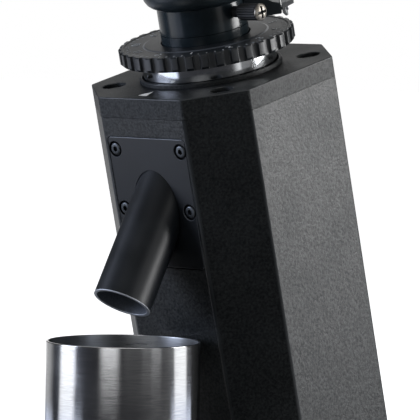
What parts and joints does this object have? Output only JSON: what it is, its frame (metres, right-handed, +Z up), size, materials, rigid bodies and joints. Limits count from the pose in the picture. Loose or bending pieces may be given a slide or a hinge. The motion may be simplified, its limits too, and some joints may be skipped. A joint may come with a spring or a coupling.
{
  "type": "electric coffee grinder",
  "caption": "Electric flat-burr coffee grinder: leaning dark eight-sided column on a base plate, notched grind dial, hopper, slanted spout and steel dosing cup.",
  "frame": {"origin": "on the table under the middle of the base plate", "axes": "+Z up, +X to the right as seen from the front, -Y towards the person at the spout; the column leans towards -Y at its top"},
  "size_m": [0.13, 0.226, 0.3383],
  "materials": {
    "powder_coat": "fine textured satin",
    "cap_coat": "satin",
    "mark_white": "matt",
    "rubber": "matt",
    "polished_steel": "polished",
    "black_anodised": "satin",
    "cast_aluminium": "as cast and machined",
    "brushed_steel": "brushed",
    "chrome": "mirror bright",
    "tool_steel": "ground",
    "black_steel": "black oxide",
    "laminations": "dull",
    "copper": "enamelled wire",
    "matt_black": "matt",
    "gloss_black": "high gloss",
    "board_green": "satin"
  },
  "bodies": {
    "grinder": {"base_plate": "powder_coat", "column_body": "powder_coat", "top_cap": "cap_coat", "index_mark": "mark_white", "cup_mat": "rubber", "spout_plate": "black_anodised", "spout_tube": "black_anodised", "declumper_leaf": "rubber", "grinding_chamber": "cast_aluminium", "upper_bearing": "brushed_steel", "motor_housing": "black_steel", "stator_core": "laminations", "stator_winding": "copper", "motor_end_cover": "cast_aluminium", "lower_bearing": "brushed_steel", "switch_body": "matt_black", "power_inlet": "matt_black", "control_board": "board_green", "run_capacitor": "brushed_steel", "rubber_foot_1": "rubber", "base_screw_1": "black_steel", "cap_screw_1": "black_steel", "plate_screw_1": "black_steel", "rubber_foot_2": "rubber", "base_screw_2": "black_steel", "cap_screw_2": "black_steel", "plate_screw_2": "black_steel", "rubber_foot_3": "rubber", "base_screw_3": "black_steel", "cap_screw_3": "black_steel", "plate_screw_3": "black_steel", "rubber_foot_4": "rubber", "base_screw_4": "black_steel", "cap_screw_4": "black_steel", "plate_screw_4": "black_steel", "inlet_screw_1": "black_steel", "inlet_screw_2": "black_steel"},
    "dial": {"adjusting_dial": "black_anodised"},
    "carrier": {"burr_carrier": "chrome", "upper_burr": "tool_steel", "upper_burr_screw_1": "brushed_steel", "upper_burr_screw_2": "brushed_steel", "hopper_neck": "gloss_black"},
    "hopper": {"hopper": "gloss_black", "finger_tab": "brushed_steel", "tab_screw": "brushed_steel"},
    "lid": {"hopper_lid": "gloss_black"},
    "thumb_knob": {"lock_knob": "matt_black", "knob_screw": "polished_steel"},
    "pin": {"lock_pin": "brushed_steel"},
    "rotor": {"lower_burr": "tool_steel", "lower_burr_screw_1": "brushed_steel", "lower_burr_screw_2": "brushed_steel", "rotor_disc": "cast_aluminium", "motor_shaft": "brushed_steel", "rotor_nut": "brushed_steel", "armature": "laminations", "cooling_fan": "matt_black"},
    "rocker": {"power_rocker": "matt_black"},
    "cup": {"dosing_cup": "polished_steel"}
  },
  "joints": [
    {"name": "dial_turn", "type": "hinge", "parent": "grinder", "child": "dial", "pos_m": [0, -0.00738, 0.25074], "axis": [0, -0.2538, 0.9673], "range_deg": [-165, 165]},
    {"name": "carrier_travel", "type": "slide", "parent": "dial", "child": "carrier", "axis": [0, -0.2538, 0.9673], "range_m": [-0.0007, 0.0007]},
    {"name": "hopper_turn", "type": "hinge", "parent": "carrier", "child": "hopper", "pos_m": [0, -0.01144, 0.26622], "axis": [0, -0.2538, 0.9673], "range_deg": [0, 30]},
    {"name": "lid_lift", "type": "slide", "parent": "hopper", "child": "lid", "axis": [0, -0.2538, 0.9673], "range_m": [0, 0.05]},
    {"name": "thumb_knob_turn", "type": "hinge", "parent": "hopper", "child": "thumb_knob", "pos_m": [0.03, -0.01175, 0.26738], "axis": [1, 0, 0], "range_deg": [0, 360]},
    {"name": "pin_travel", "type": "slide", "parent": "hopper", "child": "pin", "axis": [1, 0, 0], "range_m": [0, 0.0008]},
    {"name": "rotor_spin", "type": "hinge", "parent": "grinder", "child": "rotor", "pos_m": [0, 0.02155, 0.14047], "axis": [0, -0.2538, 0.9673], "continuous": true},
    {"name": "switch_rock", "type": "hinge", "parent": "grinder", "child": "rocker", "pos_m": [-0.0525, 0.04036, 0.04513], "axis": [0, 0.9673, 0.2538], "range_deg": [0, 16]},
    {"name": "cup_slide", "type": "slide", "parent": "grinder", "child": "cup", "axis": [0, -1, 0], "range_m": [0, 0.11]}
  ],
  "couplings": [
    {"joint": "carrier_travel", "follows": "dial_turn", "m_per_rad": 0.00023873},
    {"joint": "pin_travel", "follows": "thumb_knob_turn", "m_per_rad": 0.00012731}
  ]
}
